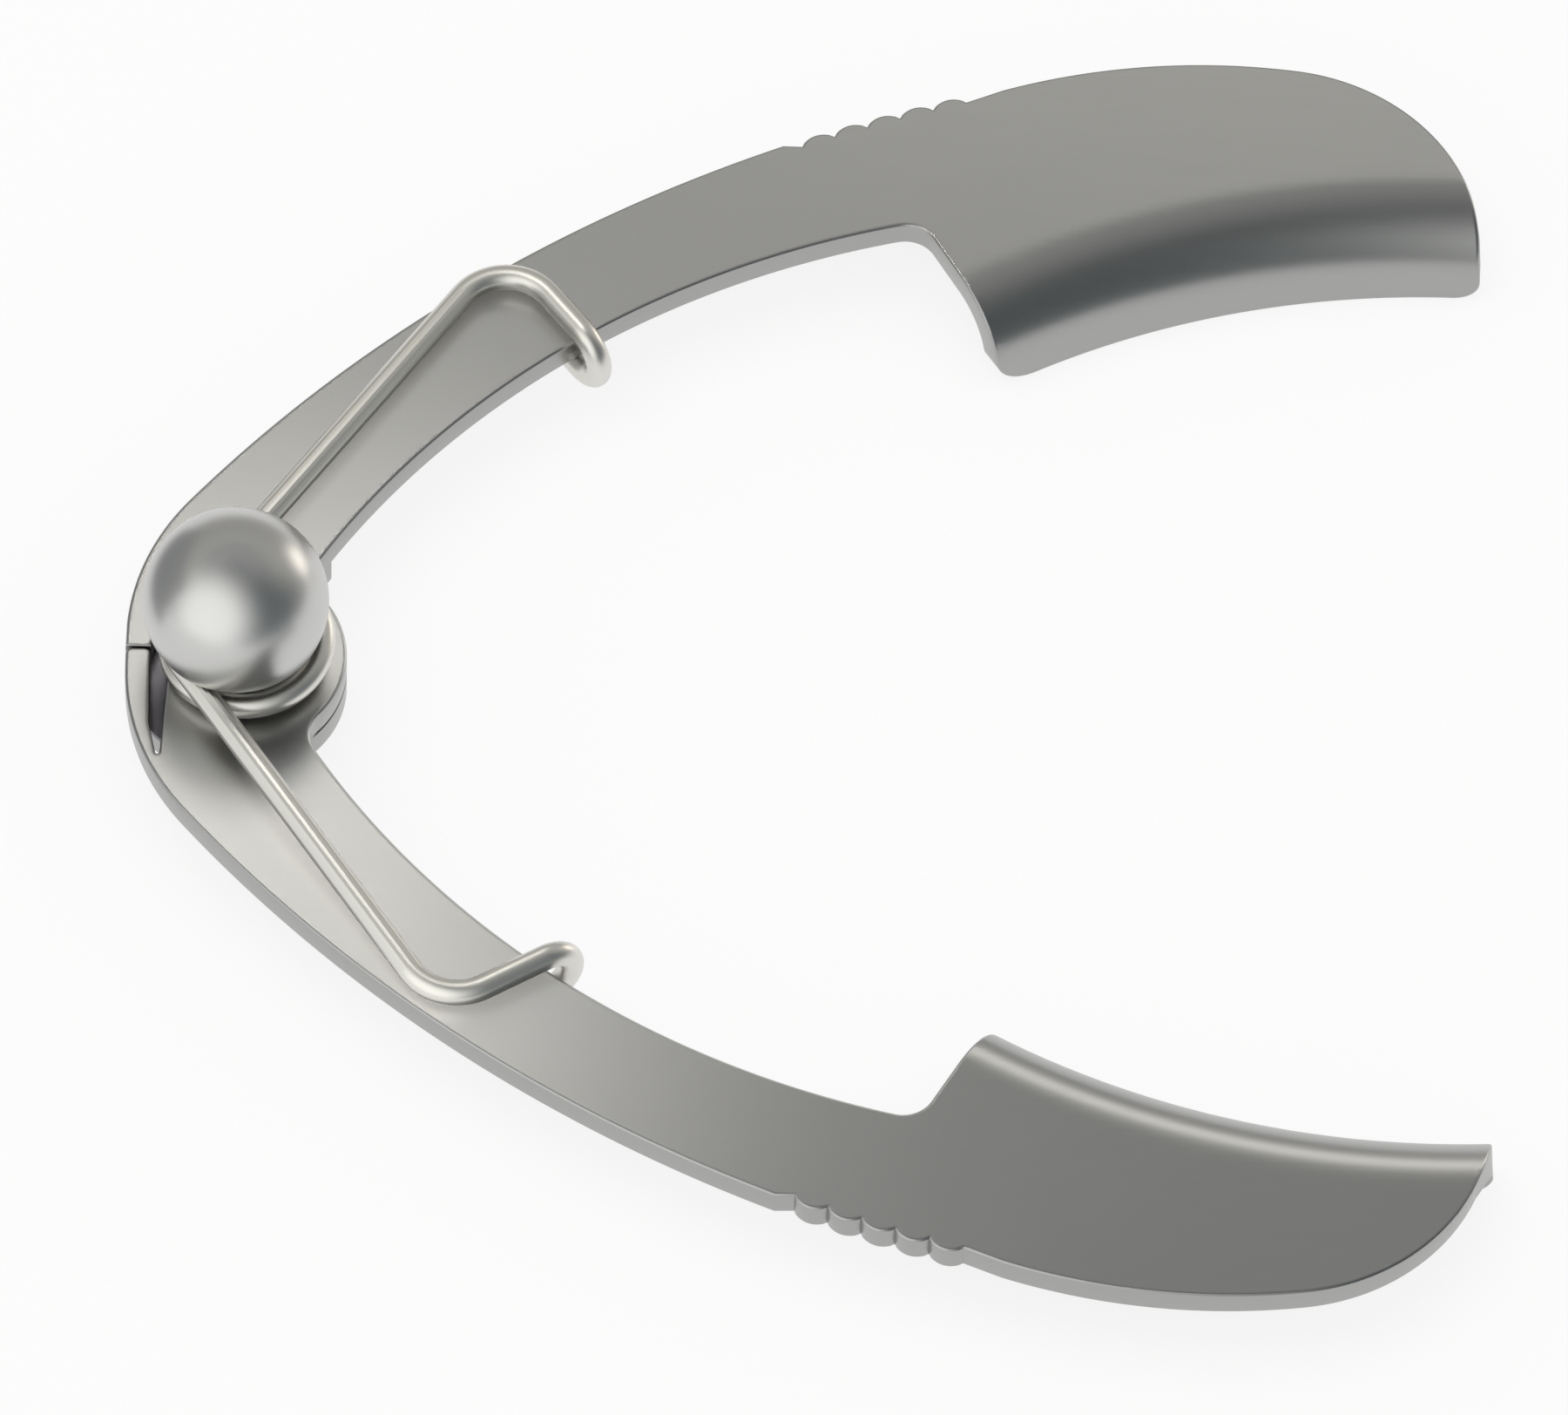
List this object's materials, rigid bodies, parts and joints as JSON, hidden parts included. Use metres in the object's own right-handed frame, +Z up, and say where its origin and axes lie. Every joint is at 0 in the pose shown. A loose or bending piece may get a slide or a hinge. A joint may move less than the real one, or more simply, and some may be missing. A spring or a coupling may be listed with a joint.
{
  "type": "eye speculum",
  "caption": "Sprung eye speculum: bowed flat arms with curled solid lid blades, lapped on a ball-headed pin, with a hooked torsion spring.",
  "frame": {"origin": "centre of the rivet head's underside, on the pivot axis", "axes": "+X from the pivot towards the blades' tips, +Y from the lower arm to the upper arm, +Z up along the pin to the ball"},
  "size_m": [0.0376, 0.041, 0.008],
  "materials": {
    "satin_steel": "satin-polished stainless steel sheet",
    "polished_steel": "mirror-polished stainless steel",
    "spring_wire": "bright-drawn stainless spring wire"
  },
  "bodies": {
    "lower_body": {"lower_arm": "satin_steel", "pivot_pin": "satin_steel", "ball_knob": "polished_steel", "torsion_spring": "spring_wire"},
    "upper_body": {"upper_arm": "satin_steel"}
  },
  "joints": [
    {"name": "arm_pivot", "type": "hinge", "parent": "lower_body", "child": "upper_body", "pos_m": [0, 0, 0.0018], "axis": [0, 0, -1], "range_deg": [0, 44], "stiffness_Nm_per_rad": 0.1, "springref_deg": -20.05, "deforming": ["torsion_spring"]}
  ]
}
